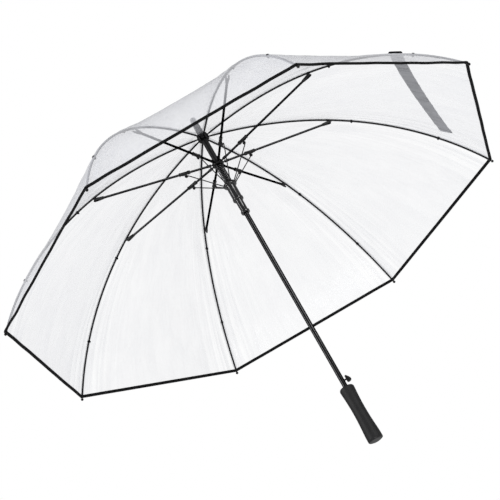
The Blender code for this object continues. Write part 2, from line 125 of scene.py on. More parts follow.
def ripple(length, across, panel, bow):
    """Shallow folds of a film pulled tight between two ribs: they run out of the top and the rim's corners."""
    along = length / FILM_EDGE
    seed = panel * 17.3
    fade = min(1.0, bow * 2.2) * min(1.0, along * 2.5)
    broad = noise.noise(Vector((across * 2.2 + seed, along * 2.0, 0.3)))
    fan = noise.noise(Vector((across * 9.0 + seed, along * 1.6, 4.1)))
    corner = min(across, 1 - across)
    pull = sin((corner * 3.2 + (1 - along) * 2.4) * 9.0 + seed) * exp(-((1 - along) / 0.16) ** 2 - (corner / 0.22) ** 2)
    side = 0 if across < 0.5 else 1
    fold = 0.0
    for k in range(3):
        place = 0.050 + 0.055 * k + 0.030 * noise.noise(Vector((seed + 5.1 * k, side * 3.7, along * 1.3)))
        size = 0.0013 + 0.0008 * noise.noise(Vector((seed * 1.7 + k, side * 9.1, 0.5)))
        fold += size * exp(-((corner - place) / 0.011) ** 2)
    fold *= max(0.0, min(1.0, (along - 0.22) * 4)) * max(0.0, min(1.0, (1.0 - along) * 9))
    return fade * (0.0016 * broad + 0.0007 * fan + 0.0008 * pull) + fold * min(1.0, bow * 6)


# ------------------------------------------------------------------ mesh tools
def finish_mesh(name, verts, faces, mat, solid=True, uvs=None, sharp=40, matrix=None):
    mesh = bpy.data.meshes.new(name)
    bm = bmesh.new()
    made = [bm.verts.new(v) for v in verts]
    layer = bm.loops.layers.uv.new("UVMap") if uvs else None
    for f in faces:
        try:
            face = bm.faces.new([made[i] for i in f])
        except ValueError:
            continue
        if layer:
            for loop, i in zip(face.loops, f):
                loop[layer].uv = uvs[i]
    if solid:
        bmesh.ops.recalc_face_normals(bm, faces=bm.faces)
    bm.to_mesh(mesh)
    bm.free()
    mesh.materials.append(mat)
    mesh.shade_smooth()
    if sharp:
        mesh.set_sharp_from_angle(angle=radians(sharp))
    obj = bpy.data.objects.new(name, mesh)
    bpy.context.scene.collection.objects.link(obj)
    if matrix is not None:
        obj.matrix_world = matrix
    return obj


class Shell:
    """Collects closed shells into one mesh."""

    def __init__(self):
        self.verts, self.faces = [], []

    def add(self, verts, faces, matrix=None):
        start = len(self.verts)
        self.verts += [tuple(matrix @ Vector(v)) if matrix else tuple(v) for v in verts]
        self.faces += [tuple(start + i for i in f) for f in faces]
        return self


def circle(n, a=1.0, b=1.0, turn=0.0):
    return [(a * cos(2 * pi * k / n + turn), b * sin(2 * pi * k / n + turn)) for k in range(n)]


def rounded(a, b, corner, n=3):
    """Rounded rectangle with half sides a and b."""
    out = []
    corner = min(corner, a, b)
    for q, (sx, sy) in enumerate(((1, 1), (-1, 1), (-1, -1), (1, -1))):
        for k in range(n + 1):
            t = q * pi / 2 + (pi / 2) * k / n
            out.append((sx * (a - corner) + corner * cos(t), sy * (b - corner) + corner * sin(t)))
    return out


def sweep(stations):
    """stations: (centre, u, v, outline); every outline has the same number of points. Ends are capped."""
    verts, faces = [], []
    n = len(stations[0][3])
    for centre, u, v, outline in stations:
        verts += [centre + u * x + v * y for x, y in outline]
    for k in range(len(stations) - 1):
        for i in range(n):
            j = (i + 1) % n
            faces.append((k * n + i, k * n + j, (k + 1) * n + j, (k + 1) * n + i))
    faces.append(tuple(range(n)))
    faces.append(tuple(range((len(stations) - 1) * n, len(stations) * n)))
    return verts, faces


def tube(points, radii, sides=10):
    """A round tube along points, turning as little as it can."""
    points = [Vector(p) for p in points]
    if not hasattr(radii, "__len__"):
        radii = [radii] * len(points)
    stations, up = [], None
    for k, p in enumerate(points):
        d = (points[min(k + 1, len(points) - 1)] - points[max(k - 1, 0)]).normalized()
        if up is None:
            up = d.orthogonal().normalized()
        up = (up - d * up.dot(d)).normalized()
        side = d.cross(up)
        stations.append((p, up.copy(), side, circle(sides, radii[k], radii[k])))
    return sweep(stations)


def soften(profile, radius, closed=True, n=3):
    """The profile with small round corners."""
    out, count = [], len(profile)
    for k, p in enumerate(profile):
        p = Vector((*p, 0))
        if not closed and k in (0, count - 1):
            out.append((p.x, p.y))
            continue
        a, b = Vector((*profile[k - 1], 0)), Vector((*profile[(k + 1) % count], 0))
        da, db = a - p, b - p
        cut = min(radius, da.length * 0.45, db.length * 0.45)
        if cut < 2e-5 or da.angle(db, pi) > radians(172):
            out.append((p.x, p.y))
            continue
        start, end = p + da.normalized() * cut, p + db.normalized() * cut
        for i in range(n + 1):
            t = i / n
            q = start * (1 - t) ** 2 + p * 2 * t * (1 - t) + end * t ** 2
            out.append((q.x, q.y))
    return out


def lathe(profile, steps, closed=True, wobble=None):
    """Turns a profile of (radius, height) about Z. An open profile starts and ends on the axis."""
    verts, faces, rings = [], [], []
    for k, (r, z) in enumerate(profile):
        if r < 1e-7:
            rings.append([len(verts)])
            verts.append((0, 0, z))
        else:
            rings.append(list(range(len(verts), len(verts) + steps)))
            for i in range(steps):
                a = 2 * pi * i / steps
                rr = r + (wobble(a, r, z) if wobble else 0.0)
                verts.append((rr * cos(a), rr * sin(a), z))
    pairs = list(zip(rings, rings[1:])) + ([(rings[-1], rings[0])] if closed else [])
    for a, b in pairs:
        for i in range(steps):
            j = (i + 1) % steps
            if len(a) == 1 and len(b) == 1:
                break
            if len(a) == 1:
                faces.append((a[0], b[i], b[j]))
            elif len(b) == 1:
                faces.append((a[i], a[j], b[0]))
            else:
                faces.append((a[i], a[j], b[j], b[i]))
    return verts, faces


def cut(obj, shells):
    """Takes boxes or rods out of a closed mesh."""
    tool = finish_mesh("cutting_tool", shells.verts, shells.faces, obj.data.materials[0], sharp=0)
    mod = obj.modifiers.new("cut", "BOOLEAN")
    mod.object, mod.solver, mod.operation = tool, "EXACT", "DIFFERENCE"
    bpy.context.view_layer.update()
    mesh = bpy.data.meshes.new_from_object(obj.evaluated_get(bpy.context.evaluated_depsgraph_get()))
    obj.modifiers.clear()
    old, obj.data = obj.data, mesh
    mesh.name = old.name + "_cut"
    bpy.data.meshes.remove(old)
    bpy.data.objects.remove(tool, do_unlink=True)
    mesh.shade_smooth()
    mesh.set_sharp_from_angle(angle=radians(35))
    return obj


def box_shell(low, high, corner=0.0002, turn=0.0):
    """A box with rounded long edges along X, turned about Z."""
    cx, cy, cz = [(a + b) / 2 for a, b in zip(low, high)]
    a, b = (high[1] - low[1]) / 2, (high[2] - low[2]) / 2
    m = Matrix.Rotation(turn, 4, "Z")
    c = min(corner, a * 0.9, b * 0.9)
    u, v = Vector((0, 1, 0)), Vector((0, 0, 1))
    full, small = rounded(a, b, c), rounded(a - c, b - c, c * 0.3)
    st = [(Vector((low[0], cy, cz)), u, v, small), (Vector((low[0] + c, cy, cz)), u, v, full),
          (Vector((high[0] - c, cy, cz)), u, v, full), (Vector((high[0], cy, cz)), u, v, small)]
    verts, faces = sweep(st)
    return [tuple(m @ p) for p in verts], faces


# ------------------------------------------------------------------ materials
def blank(name, color, roughness, metallic=0.0):
    mat = bpy.data.materials.new(name)
    mat.use_nodes = True
    nodes, links = mat.node_tree.nodes, mat.node_tree.links
    shader = nodes["Principled BSDF"]
    shader.inputs["Base Color"].default_value = (*color, 1.0)
    shader.inputs["Roughness"].default_value = roughness
    shader.inputs["Metallic"].default_value = metallic
    return mat, nodes, links, shader


def coordinates(nodes, links, source, scale):
    where = nodes.new("ShaderNodeTexCoord")
    mapping = nodes.new("ShaderNodeMapping")
    mapping.inputs["Scale"].default_value = scale
    links.new(where.outputs[source], mapping.inputs["Vector"])
    return mapping.outputs["Vector"]


def noise_node(nodes, links, vector, scale, detail=3.0, rough=0.55, distortion=0.0):
    n = nodes.new("ShaderNodeTexNoise")
    n.inputs["Scale"].default_value = scale
    n.inputs["Detail"].default_value = detail
    n.inputs["Roughness"].default_value = rough
    n.inputs["Distortion"].default_value = distortion
    links.new(vector, n.inputs["Vector"])
    return n.outputs["Fac"]


def spread(nodes, links, value, low, high, start=0.3, end=0.7):
    m = nodes.new("ShaderNodeMapRange")
    m.inputs["From Min"].default_value = start
    m.inputs["From Max"].default_value = end
    m.inputs["To Min"].default_value = low
    m.inputs["To Max"].default_value = high
    links.new(value, m.inputs["Value"])
    return m.outputs["Result"]


def tint(nodes, links, value, dark, light, start=0.3, end=0.7):
    ramp = nodes.new("ShaderNodeValToRGB")
    ramp.color_ramp.elements[0].position = start
    ramp.color_ramp.elements[0].color = (*dark, 1)
    ramp.color_ramp.elements[1].position = end
    ramp.color_ramp.elements[1].color = (*light, 1)
    links.new(value, ramp.inputs["Fac"])
    return ramp.outputs["Color"]


def bump(nodes, links, height, shader, strength, distance, previous=None):
    b = nodes.new("ShaderNodeBump")
    b.inputs["Strength"].default_value = strength
    b.inputs["Distance"].default_value = distance
    links.new(height, b.inputs["Height"])
    if previous is not None:
        links.new(previous, b.inputs["Normal"])
    links.new(b.outputs["Normal"], shader.inputs["Normal"])
    return b.outputs["Normal"]


def hard_surface(name, dark, light, rough, grain, depth, metallic=0.0, coat=0.0, stretch=(1, 1, 1), blotch=45,
                 specular=0.28):
    """Painted, moulded or drawn surface: fine grain, slow change of gloss and tone, small rubbed spots."""
    mat, nodes, links, shader = blank(name, dark, rough[0], metallic)
    where = coordinates(nodes, links, "Object", stretch)
    fine = noise_node(nodes, links, where, grain, 4.0)
    slow = noise_node(nodes, links, where, blotch, 3.0, 0.6)
    rub = noise_node(nodes, links, where, blotch * 5, 5.0, 0.7, 0.4)
    links.new(tint(nodes, links, slow, dark, light), shader.inputs["Base Color"])
    mix = nodes.new("ShaderNodeMath")
    mix.operation = "ADD"
    links.new(spread(nodes, links, slow, rough[0], rough[1]), mix.inputs[0])
    links.new(spread(nodes, links, rub, 0.0, 0.06, 0.55, 0.75), mix.inputs[1])
    links.new(mix.outputs[0], shader.inputs["Roughness"])
    first = bump(nodes, links, fine, shader, 0.5, depth)
    bump(nodes, links, rub, shader, 0.15, depth * 1.5, first)
    shader.inputs["Specular IOR Level"].default_value = specular
    if metallic == 1.0:
        shader.inputs["Specular Tint"].default_value = (0.12, 0.12, 0.12, 1.0)
    if coat:
        shader.inputs["Coat Weight"].default_value = coat
        shader.inputs["Coat Roughness"].default_value = 0.12
    return mat


TUBE = hard_surface("satin_black_tube", (0.024, 0.024, 0.025), (0.033, 0.033, 0.034), (0.18, 0.25), 1400, 0.00003,
                    metallic=1.0, blotch=30)
ROD = hard_surface("fibre_rod_black", (0.004, 0.004, 0.005), (0.009, 0.009, 0.010), (0.30, 0.42), 900, 0.00004,
                   stretch=(1, 1, 0.2), specular=0.14)
CHANNEL = hard_surface("black_channel_steel", (0.017, 0.017, 0.018), (0.026, 0.026, 0.027), (0.26, 0.36), 1100, 0.00003,
                       metallic=1.0)
PLASTIC = hard_surface("moulded_black_plastic", (0.004, 0.004, 0.0045), (0.008, 0.008, 0.0085), (0.34, 0.44), 1800, 0.00004,
                        specular=0.20)
RUNNER = hard_surface("glossy_black_plastic", (0.003, 0.003, 0.004), (0.006, 0.006, 0.007), (0.14, 0.22), 900, 0.00002,
                      coat=0.45, blotch=60, specular=0.4)
WIRE = hard_surface("drawn_steel_wire", (0.014, 0.014, 0.015), (0.030, 0.030, 0.032), (0.28, 0.42), 1500, 0.00002, metallic=0.6,
                    blotch=120)
SPRING = hard_surface("black_spring_wire", (0.040, 0.040, 0.042), (0.080, 0.080, 0.084), (0.12, 0.20), 1500, 0.00002,
                      metallic=0.95)
THREAD = hard_surface("black_thread", (0.006, 0.006, 0.007), (0.012, 0.012, 0.013), (0.75, 0.90), 2200, 0.00010, specular=0.1)


def foam_material():
    mat, nodes, links, shader = blank("grip_foam", (0.040, 0.040, 0.043), 0.9)
    where = coordinates(nodes, links, "Object", (1, 1, 1))
    cells = nodes.new("ShaderNodeTexVoronoi")
    cells.inputs["Scale"].default_value = 1300
    links.new(where, cells.inputs["Vector"])
    pores = noise_node(nodes, links, where, 2600, 3.0)
    slow = noise_node(nodes, links, where, 60, 4.0)
    add = nodes.new("ShaderNodeMath")
    add.operation = "MULTIPLY_ADD"
    add.inputs[1].default_value = 0.6
    links.new(cells.outputs["Distance"], add.inputs[0])
    links.new(pores, add.inputs[2])
    links.new(tint(nodes, links, slow, (0.006, 0.006, 0.0065), (0.0125, 0.0125, 0.0130)), shader.inputs["Base Color"])
    links.new(spread(nodes, links, pores, 0.50, 0.66), shader.inputs["Roughness"])
    bump(nodes, links, add.outputs[0], shader, 0.6, 0.00018)
    shader.inputs["Specular IOR Level"].default_value = 0.26
    return mat


def film_material(name, clear, veil, wrinkle, color=(0.78, 0.79, 0.86)):
    """Clear film with a faint milky veil, more of it where it is seen edge on, soft creases, painted highlight and
    shade along the creases and in long streaks beside the ribs, and a painted sheen that lightens its colour where it
    is seen edge on.
    """
    mat, nodes, links, shader = blank(name, color, 0.13)
    where = coordinates(nodes, links, "UV", (0.39, 0.63, 1.0))
    long = coordinates(nodes, links, "UV", (1.9, 0.85, 1.0))
    haze = noise_node(nodes, links, where, 9, 4.0, 0.6)
    fine = noise_node(nodes, links, where, 190, 3.0, 0.6)
    folds = noise_node(nodes, links, long, 7.5, 4.0, 0.62, 0.9)
    weight = nodes.new("ShaderNodeLayerWeight")
    weight.inputs["Blend"].default_value = 0.42
    curve = nodes.new("ShaderNodeFloatCurve")
    points = curve.mapping.curves[0].points
    points[0].location, points[1].location = (0.0, clear), (1.0, veil)
    points.new(0.35, clear + 0.10)
    points.new(0.62, clear + 0.35 * (veil - clear))
    points.new(0.85, clear + 0.72 * (veil - clear))
    curve.mapping.update()
    links.new(weight.outputs["Facing"], curve.inputs["Value"])
    edge = curve.outputs["Value"]
    patch = spread(nodes, links, haze, -0.030, 0.040)
    # painted highlight and shade along the creases: the film's opacity follows the same fold noise as the bump
    crease_light_and_shade = spread(nodes, links, folds, -0.030, 0.055, 0.38, 0.66)
    one = nodes.new("ShaderNodeMath")
    two = nodes.new("ShaderNodeMath")
    one.operation = two.operation = "ADD"
    two.use_clamp = True
    links.new(edge, one.inputs[0])
    links.new(patch, one.inputs[1])
    links.new(one.outputs[0], two.inputs[0])
    links.new(crease_light_and_shade, two.inputs[1])
    # long pulled folds beside the ribs, drawn as painted highlight and shade streaks: the film's opacity is raised and
    # lowered in long bands
    plain = nodes.new("ShaderNodeTexCoord")
    parts = nodes.new("ShaderNodeSeparateXYZ")
    links.new(plain.outputs["UV"], parts.inputs[0])
    middle = nodes.new("ShaderNodeMath")
    middle.operation = "SUBTRACT"
    middle.inputs[1].default_value = 0.5
    links.new(parts.outputs["X"], middle.inputs[0])
    inward = nodes.new("ShaderNodeMath")
    inward.operation = "ABSOLUTE"
    links.new(middle.outputs[0], inward.inputs[0])
    beside = spread(nodes, links, inward.outputs[0], 0.0, 1.0, 0.22, 0.46)
    lower = spread(nodes, links, parts.outputs["Y"], 0.0, 1.0, 0.28, 0.55)
    painted_streak_noise = noise_node(nodes, links, coordinates(nodes, links, "UV", (46, 1.5, 1.0)), 1.0, 2.0, 0.5, 0.15)
    strength = spread(nodes, links, painted_streak_noise, -0.15, 0.13, 0.36, 0.64)
    painted_streak_mask, painted_streak_alpha, three = (nodes.new("ShaderNodeMath") for _ in range(3))
    painted_streak_mask.operation = painted_streak_alpha.operation = "MULTIPLY"
    three.operation = "ADD"
    three.use_clamp = True
    links.new(beside, painted_streak_mask.inputs[0])
    links.new(lower, painted_streak_mask.inputs[1])
    links.new(painted_streak_mask.outputs[0], painted_streak_alpha.inputs[0])
    links.new(strength, painted_streak_alpha.inputs[1])
    links.new(two.outputs[0], three.inputs[0])
    links.new(painted_streak_alpha.outputs[0], three.inputs[1])
    links.new(three.outputs[0], shader.inputs["Alpha"])
    # base colour: random haze plus a painted sheen that makes the film lighter where it is seen edge on
    haze_and_edge_sheen = nodes.new("ShaderNodeMath")
    haze_and_edge_sheen.operation = "MULTIPLY_ADD"
    haze_and_edge_sheen.inputs[1].default_value = 0.12
    links.new(haze, haze_and_edge_sheen.inputs[0])
    links.new(weight.outputs["Facing"], haze_and_edge_sheen.inputs[2])
    links.new(tint(nodes, links, haze_and_edge_sheen.outputs[0], color, (0.86, 0.87, 0.92), 0.25, 0.95), shader.inputs["Base Color"])
    links.new(spread(nodes, links, haze, 0.12, 0.26), shader.inputs["Roughness"])
    first = bump(nodes, links, folds, shader, wrinkle, 0.0045)
    bump(nodes, links, fine, shader, 0.03, 0.0003, first)
    shader.inputs["IOR"].default_value = 1.5
    return mat


def tape_material():
    mat, nodes, links, shader = blank("rim_tape", (0.012, 0.012, 0.013), 0.8)
    where = coordinates(nodes, links, "UV", (390, 16, 1))
    warp, weft = nodes.new("ShaderNodeTexWave"), nodes.new("ShaderNodeTexWave")
    warp.bands_direction, weft.bands_direction = "X", "Y"
    for w in (warp, weft):
        w.inputs["Scale"].default_value = 0.9
        w.inputs["Distortion"].default_value = 0.3
        links.new(where, w.inputs["Vector"])
    weave = nodes.new("ShaderNodeMath")
    weave.operation = "MULTIPLY"
    links.new(warp.outputs["Fac"], weave.inputs[0])
    links.new(weft.outputs["Fac"], weave.inputs[1])
    links.new(tint(nodes, links, weave.outputs[0], (0.003, 0.003, 0.0035), (0.010, 0.010, 0.011), 0.1, 0.9),
              shader.inputs["Base Color"])
    bump(nodes, links, weave.outputs[0], shader, 0.6, 0.0002)
    shader.inputs["Specular IOR Level"].default_value = 0.12
    return mat


def strap_material():
    mat, nodes, links, shader = blank("strap_band", (0.12, 0.12, 0.125), 0.6)
    where = coordinates(nodes, links, "UV", (1, 1, 1))
    bands = nodes.new("ShaderNodeTexWave")
    bands.bands_direction = "X"
    bands.inputs["Scale"].default_value = 9
    bands.inputs["Distortion"].default_value = 2.5
    bands.inputs["Detail"].default_value = 3
    links.new(where, bands.inputs["Vector"])
    links.new(tint(nodes, links, bands.outputs["Fac"], (0.012, 0.012, 0.013), (0.024, 0.024, 0.026), 0.2, 0.8),
              shader.inputs["Base Color"])
    links.new(spread(nodes, links, bands.outputs["Fac"], 0.45, 0.65), shader.inputs["Roughness"])
    bump(nodes, links, bands.outputs["Fac"], shader, 0.35, 0.0004)
    shader.inputs["Specular IOR Level"].default_value = 0.12
    return mat


FOAM = foam_material()
FILM = film_material("clear_film", 0.192, 0.82, 0.40, (0.69, 0.70, 0.745))
SEAM = film_material("seam_film", 0.22, 0.66, 0.15, (0.70, 0.71, 0.77))
TAPE = tape_material()
STRAP = strap_material()
CAP_RIM = hard_surface("grip_end_rim", (0.007, 0.007, 0.008), (0.012, 0.012, 0.013), (0.30, 0.40), 1200, 0.00004)


def stand_for(obj, body, slot, *nodes):
    if nodes:
        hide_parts(*nodes)
    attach(obj, body)
    return obj


def about_z(angle):
    return Matrix.Rotation(angle, 4, "Z")


# ------------------------------------------------------------------ shaft, grip, button
shaft = finish_mesh("shaft_tube", *lathe(soften((
    (SHAFT_R, SHAFT_TOP), (SHAFT_R, SHAFT_BOTTOM), (SHAFT_R - SHAFT_WALL, SHAFT_BOTTOM),
    (SHAFT_R - SHAFT_WALL, SHAFT_TOP)), 0.0002), 64), TUBE)
slot_tool = Shell()
slot_tool.add(*box_shell((0.0, -0.0021, BUTTON_Z - 0.0021), (0.007, 0.0021, BUTTON_Z + 0.0021), 0.0006))
cut(shaft, slot_tool)
stand_for(shaft, "shaft_body", "black_tube", "shaft")

GRIP_PROFILE = (
    (0.1196, 0.0105), (0.1190, 0.0136), (0.1165, 0.0148), (0.1110, 0.0146),
    (0.0950, 0.0136), (0.0760, 0.0129), (0.0560, 0.0130), (0.0360, 0.0138),
    (0.0180, 0.0149), (0.0090, 0.0152), (0.0056, 0.0145))


def smooth_line(points, per):
    """Catmull-Rom through the points."""
    out = []
    for k in range(len(points) - 1):
        p = [Vector((*points[min(max(k + d, 0), len(points) - 1)], 0)) for d in (-1, 0, 1, 2)]
        for i in range(per):
            t = i / per
            q = (p[1] * 2 + (p[2] - p[0]) * t + (p[0] * 2 - p[1] * 5 + p[2] * 4 - p[3]) * t * t
                 + (p[1] * 3 - p[0] - p[2] * 3 + p[3]) * t ** 3) / 2
            out.append((q.x, q.y))
    out.append(tuple(points[-1]))
    return out


side = smooth_line([(r, z) for z, r in GRIP_PROFILE[1:-1]], 14)
grip_profile = [(0.0062, GRIP_TOP - 0.0002), (0.0082, GRIP_TOP), (0.0118, GRIP_TOP), (0.0131, 0.1194)] + side \
    + [(0.01525, 0.0040), (0.01520, 0.0026), (0.01495, 0.0017), (0.0145, 0.0014), (0.0139, 0.0016), (0.0138, 0.0024),
       (0.0138, 0.0056), (SHAFT_R + GAP, 0.0056), (SHAFT_R + GAP, GRIP_TOP - 0.0010)]


def foam_wobble(a, r, z):
    if r < 0.0080:
        return 0.0
    p = Vector((r * cos(a), r * sin(a), z))
    return 0.00010 * noise.noise(p * 420) + 0.00005 * noise.noise(p * 1400)


grip = finish_mesh("foam_grip", *lathe(grip_profile, 128, wobble=foam_wobble), FOAM, sharp=55)
stand_for(grip, "shaft_body", "foam_grip", "handle_grip")

end_cap = Shell()
end_cap.add(*lathe([(0.0, 0.0095), (0.0044, 0.0095), (0.0044, END_CAP_H)] + soften((
    (0.0120, END_CAP_H), (END_CAP_R, END_CAP_H), (END_CAP_R, 0.0024), (0.0128, 0.0010), (0.0112, 0.0)), 0.0006, False)
    + [(0.0060, 0.0003), (0.0, 0.0004)], 64, closed=False))
end_cap = finish_mesh("grip_end_cap", end_cap.verts, end_cap.faces, CAP_RIM)
stand_for(end_cap, "shaft_body", "black_plastic", "handle_end_cap")

BUTTON_OUTLINE = ((0.0080, 0.1285), (0.0080, 0.1420), (0.0115, 0.1425),
                  (0.0172, 0.1335), (0.0165, 0.1290), (0.0120, 0.1280))
outline = soften(BUTTON_OUTLINE, 0.0022, True, 6)
centre = (sum(p[0] for p in outline) / len(outline), sum(p[1] for p in outline) / len(outline))
stations = []
for k in range(13):
    t = -1 + 2 * k / 12
    inset = 1 - 0.26 * (1 - sqrt(max(0.0, 1 - abs(t) ** 5)))
    stations.append((Vector((centre[0], 0.0040 * t, centre[1])), Vector((1, 0, 0)), Vector((0, 0, 1)),
                     [((x - centre[0]) * inset, (z - centre[1]) * inset) for x, z in outline]))
shell = Shell().add(*sweep(stations))
shell.add(*tube([(-0.0006, 0, BUTTON_Z), (0.002, 0, BUTTON_Z), (0.006, 0, BUTTON_Z), (0.0095, 0, BUTTON_Z)],
                [0.0015, 0.0017, 0.0017, 0.0017], 20))
for k in range(3):
    z = 0.1318 + 0.0026 * k
    x = 0.0171 - 0.60 * max(0.0, z - 0.1335)
    shell.add(*tube([(x, -0.0026, z), (x, 0.0, z), (x, 0.0026, z)], [0.00035, 0.00045, 0.00035], 8))
button = finish_mesh("push_button", shell.verts, shell.faces, PLASTIC)
stand_for(button, "button_body", "black_plastic", "release_button")

# ------------------------------------------------------------------ ferrule, top notch
ferrule = finish_mesh("ferrule_point", *lathe([(0.0, 0.8147)] + soften((
    (0.0025, 0.8146), (0.0040, 0.8143), (0.0056, 0.8129), (0.0062, 0.8107), (0.0068, 0.7900), (0.0072, 0.7800),
    (0.0070, 0.7797), (0.0070, 0.7792), (0.0073, 0.7789), (0.0076, 0.7692), (0.0108, 0.7683), (0.0114, 0.7678), (0.0114, 0.7672),
    (SHAFT_R + GAP, 0.7672), (SHAFT_R + GAP, SHAFT_TOP + GAP)), 0.0006, False) + [(0.0, SHAFT_TOP + GAP)],
    64, closed=False), PLASTIC)
stand_for(ferrule, "shaft_body", "black_plastic", "ferrule")

notch = finish_mesh("notch_disc", *lathe(soften((
    (NOTCH_R - 0.0010, NOTCH_TOP), (NOTCH_R, NOTCH_TOP - 0.0010), (NOTCH_R, NOTCH_BOTTOM + 0.0008),
    (NOTCH_R - 0.0008, NOTCH_BOTTOM), (SHAFT_R + GAP, NOTCH_BOTTOM), (SHAFT_R + GAP, NOTCH_TOP)), 0.0004), 96), PLASTIC)
tool = Shell()
for i in range(RIBS):
    tool.add(*box_shell((0.0067, -0.0016, NOTCH_BOTTOM - 0.002), (NOTCH_R + 0.003, 0.0016, 0.7620), 0.0003, rib_angle(i)))
tool.add(*tube([(0.0075, -0.016, 0.7634), (0.0075, 0, 0.7634), (0.0075, 0.016, 0.7634)], 0.0010, 16))
cut(notch, tool)
stand_for(notch, "shaft_body", "black_plastic", "top_notch")

# ------------------------------------------------------------------ hub and its sleeve
hub = finish_mesh("hub_sleeve", *lathe(soften((
    (HUB_SLEEVE_R, NOTCH_BOTTOM - 0.0008), (HUB_SLEEVE_R, HUB_Z + 0.0072), (0.0072, HUB_Z + 0.0040),
    (0.0116, HUB_Z + 0.0032), (HUB_R, HUB_Z + 0.0026), (HUB_R, HUB_Z - 0.0036), (0.0115, HUB_Z - 0.0045),
    (SHAFT_R + GAP, HUB_Z - 0.0045), (SHAFT_R + GAP, NOTCH_BOTTOM - 0.0008)), 0.0005), 96), PLASTIC)
tool = Shell()
for i in range(RIBS):
    tool.add(*box_shell((0.0073, -0.0013, HUB_Z - 0.0020), (HUB_R + 0.003, 0.0013, HUB_Z + 0.0060), 0.0003, rib_angle(i)))
tool.add(*tube([(0.0075, -0.016, 0.6852), (0.0075, 0, 0.6852), (0.0075, 0.016, 0.6852)], 0.0010, 16))
cut(hub, tool)
stand_for(hub, "hub_body", "black_plastic", "stretcher_hub")

# ------------------------------------------------------------------ spring
top, bottom = HUB_Z - 0.0045 - 0.0004 - SPRING_WIRE_R, SHOULDER_Z + 0.0004 + SPRING_WIRE_R
coil, per_turn = [], 22
for k in range(SPRING_TURNS * per_turn + 1):
    t = k / (SPRING_TURNS * per_turn)
    a = 2 * pi * SPRING_TURNS * t
    coil.append((SPRING_R * cos(a), SPRING_R * sin(a), top + (bottom - top) * t))
spring = finish_mesh("spring_coil", *tube(coil, SPRING_WIRE_R, 8), SPRING, sharp=0)
stand_for(spring, "hub_body", "spring_steel", "opening_spring")
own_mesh(spring)

# ------------------------------------------------------------------ runner
runner = finish_mesh("runner_body", *lathe(soften((
    (0.0096, RING_Z + 0.0030), (0.0104, RING_Z + 0.0030), (RING_R, RING_Z + 0.0026), (RING_R, RING_Z - 0.0034),
    (0.0108, RING_Z - 0.0040), (0.0102, RING_Z - 0.0060), (0.0102, 0.5945), (0.0114, 0.5935), (0.0114, 0.5895),
    (0.0104, 0.5885), (0.0078, 0.5880), (0.0076, 0.5605), (0.0094, 0.5598), (0.0094, 0.5556),
    (0.0086, RUNNER_BOTTOM), (SHAFT_R + GAP, RUNNER_BOTTOM), (SHAFT_R + GAP, SHOULDER_Z), (HOUSING_BORE, SHOULDER_Z),
    (HOUSING_BORE, RING_Z + 0.0030)), 0.0005), 96), RUNNER)
tool = Shell()
for i in range(RIBS):
    tool.add(*box_shell((0.0105, -0.0015, RING_Z - 0.0016), (RING_R + 0.003, 0.0015, RING_Z + 0.006), 0.0003, rib_angle(i)))
cut(runner, tool)
stand_for(runner, "runner_body", "runner_plastic", "runner")
shell = Shell()
for i in range(RIBS):
    for lean in (-1, 1):
        a = rib_angle(i) + lean * 0.20
        p = Vector((cos(a), sin(a), 0))
        base = p * (RING_R - 0.0008) + Vector((0, 0, RING_Z - 0.0004))
        shell.add(*tube([base, base + p * 0.0012, base + p * 0.0018, base + p * 0.0021],
                        [0.0012, 0.0012, 0.0009, 0.0004], 12))
knobs = finish_mesh("runner_knobs", shell.verts, shell.faces, RUNNER)
stand_for(knobs, "runner_body", "runner_plastic")

# ------------------------------------------------------------------ ribs, tips, ties
X_, Y_, Z_ = Vector((1, 0, 0)), Vector((0, 1, 0)), Vector((0, 0, 1))


def rib_frame(length, offset=0.0):
    """(point, outward normal, tangent) of a rib that stands at azimuth 0."""
    r, z = rib_point(length, offset)
    slope = rib_slope(length)
    return Vector((r, 0, z)), Vector((sin(slope), 0, cos(slope))), Vector((cos(slope), 0, -sin(slope)))


clip_length = min((abs(rib_point(0.0005 * k)[0] - CLIP_R), 0.0005 * k) for k in range(1300))[1]


def rib_shell():
    shell, stations = Shell(), []
    lengths = [-0.0013, -0.0009, 0.0, 0.004, 0.008, 0.012] + [0.02 + 0.0102 * k for k in range(60)]
    for s in [x for x in lengths if x < RIB_LENGTH - 0.004] + [RIB_LENGTH]:
        p, up, _ = rib_frame(s)
        eye = max(0.0, 1 - max(0.0, s - 0.003) / 0.009)
        end = 0.75 if s < -0.0010 else 1.0
        stations.append((p, Y_, up, circle(14, (ROD_R - 0.0007 * eye) * end, (ROD_R - 0.0005 * eye) * end)))
    shell.add(*sweep(stations))
    # sleeve that the connector's pivot goes through
    sleeve = []
    for s, r in ((-0.0052, 0.00178), (-0.0048, 0.00200), (0.0, 0.00205), (0.0048, 0.00200), (0.0052, 0.00178)):
        p, up, _ = rib_frame(clip_length + s)
        sleeve.append((p, Y_, up, circle(16, r, r)))
    shell.add(*sweep(sleeve))
    return shell


def tip_shell():
    p, up, forward = rib_frame(RIB_LENGTH)
    profile = soften(((0.0, 0.0052), (0.0016, 0.0049), (TIP_R, 0.0032), (TIP_R, 0.0010), (0.0022, 0.0004), (0.0, 0.0004)),
                     0.0006, False, 4)
    verts, faces = lathe(profile, 24, closed=False)
    m = Matrix((( -up.x, 0, forward.x, p.x), (0, 1, 0, p.y), (-up.z, 0, forward.z, p.z), (0, 0, 0, 1)))
    return Shell().add(verts, faces, m)


def tie_shell(length):
    """A few turns of thread round the rib and the film's seam, with its knot under the rib."""
    shell = Shell()
    p, up, forward = rib_frame(length)
    for k in range(4):
        c = p + forward * (0.0011 * (k - 1.5)) + up * 0.0004
        ring = [c + Y_ * (0.00245 * cos(t)) + up * (0.00285 * sin(t)) for t in [2 * pi * j / 20 for j in range(21)]]
        shell.add(*tube(ring, 0.00055, 6))
    knot = p - up * 0.0030
    shell.add(*sweep([(knot + forward * x, Y_, up, circle(12, r, r)) for x, r in
                      ((-0.0019, 0.0005), (-0.0014, 0.0013), (0.0, 0.0019), (0.0014, 0.0013), (0.0019, 0.0005))]))
    return shell


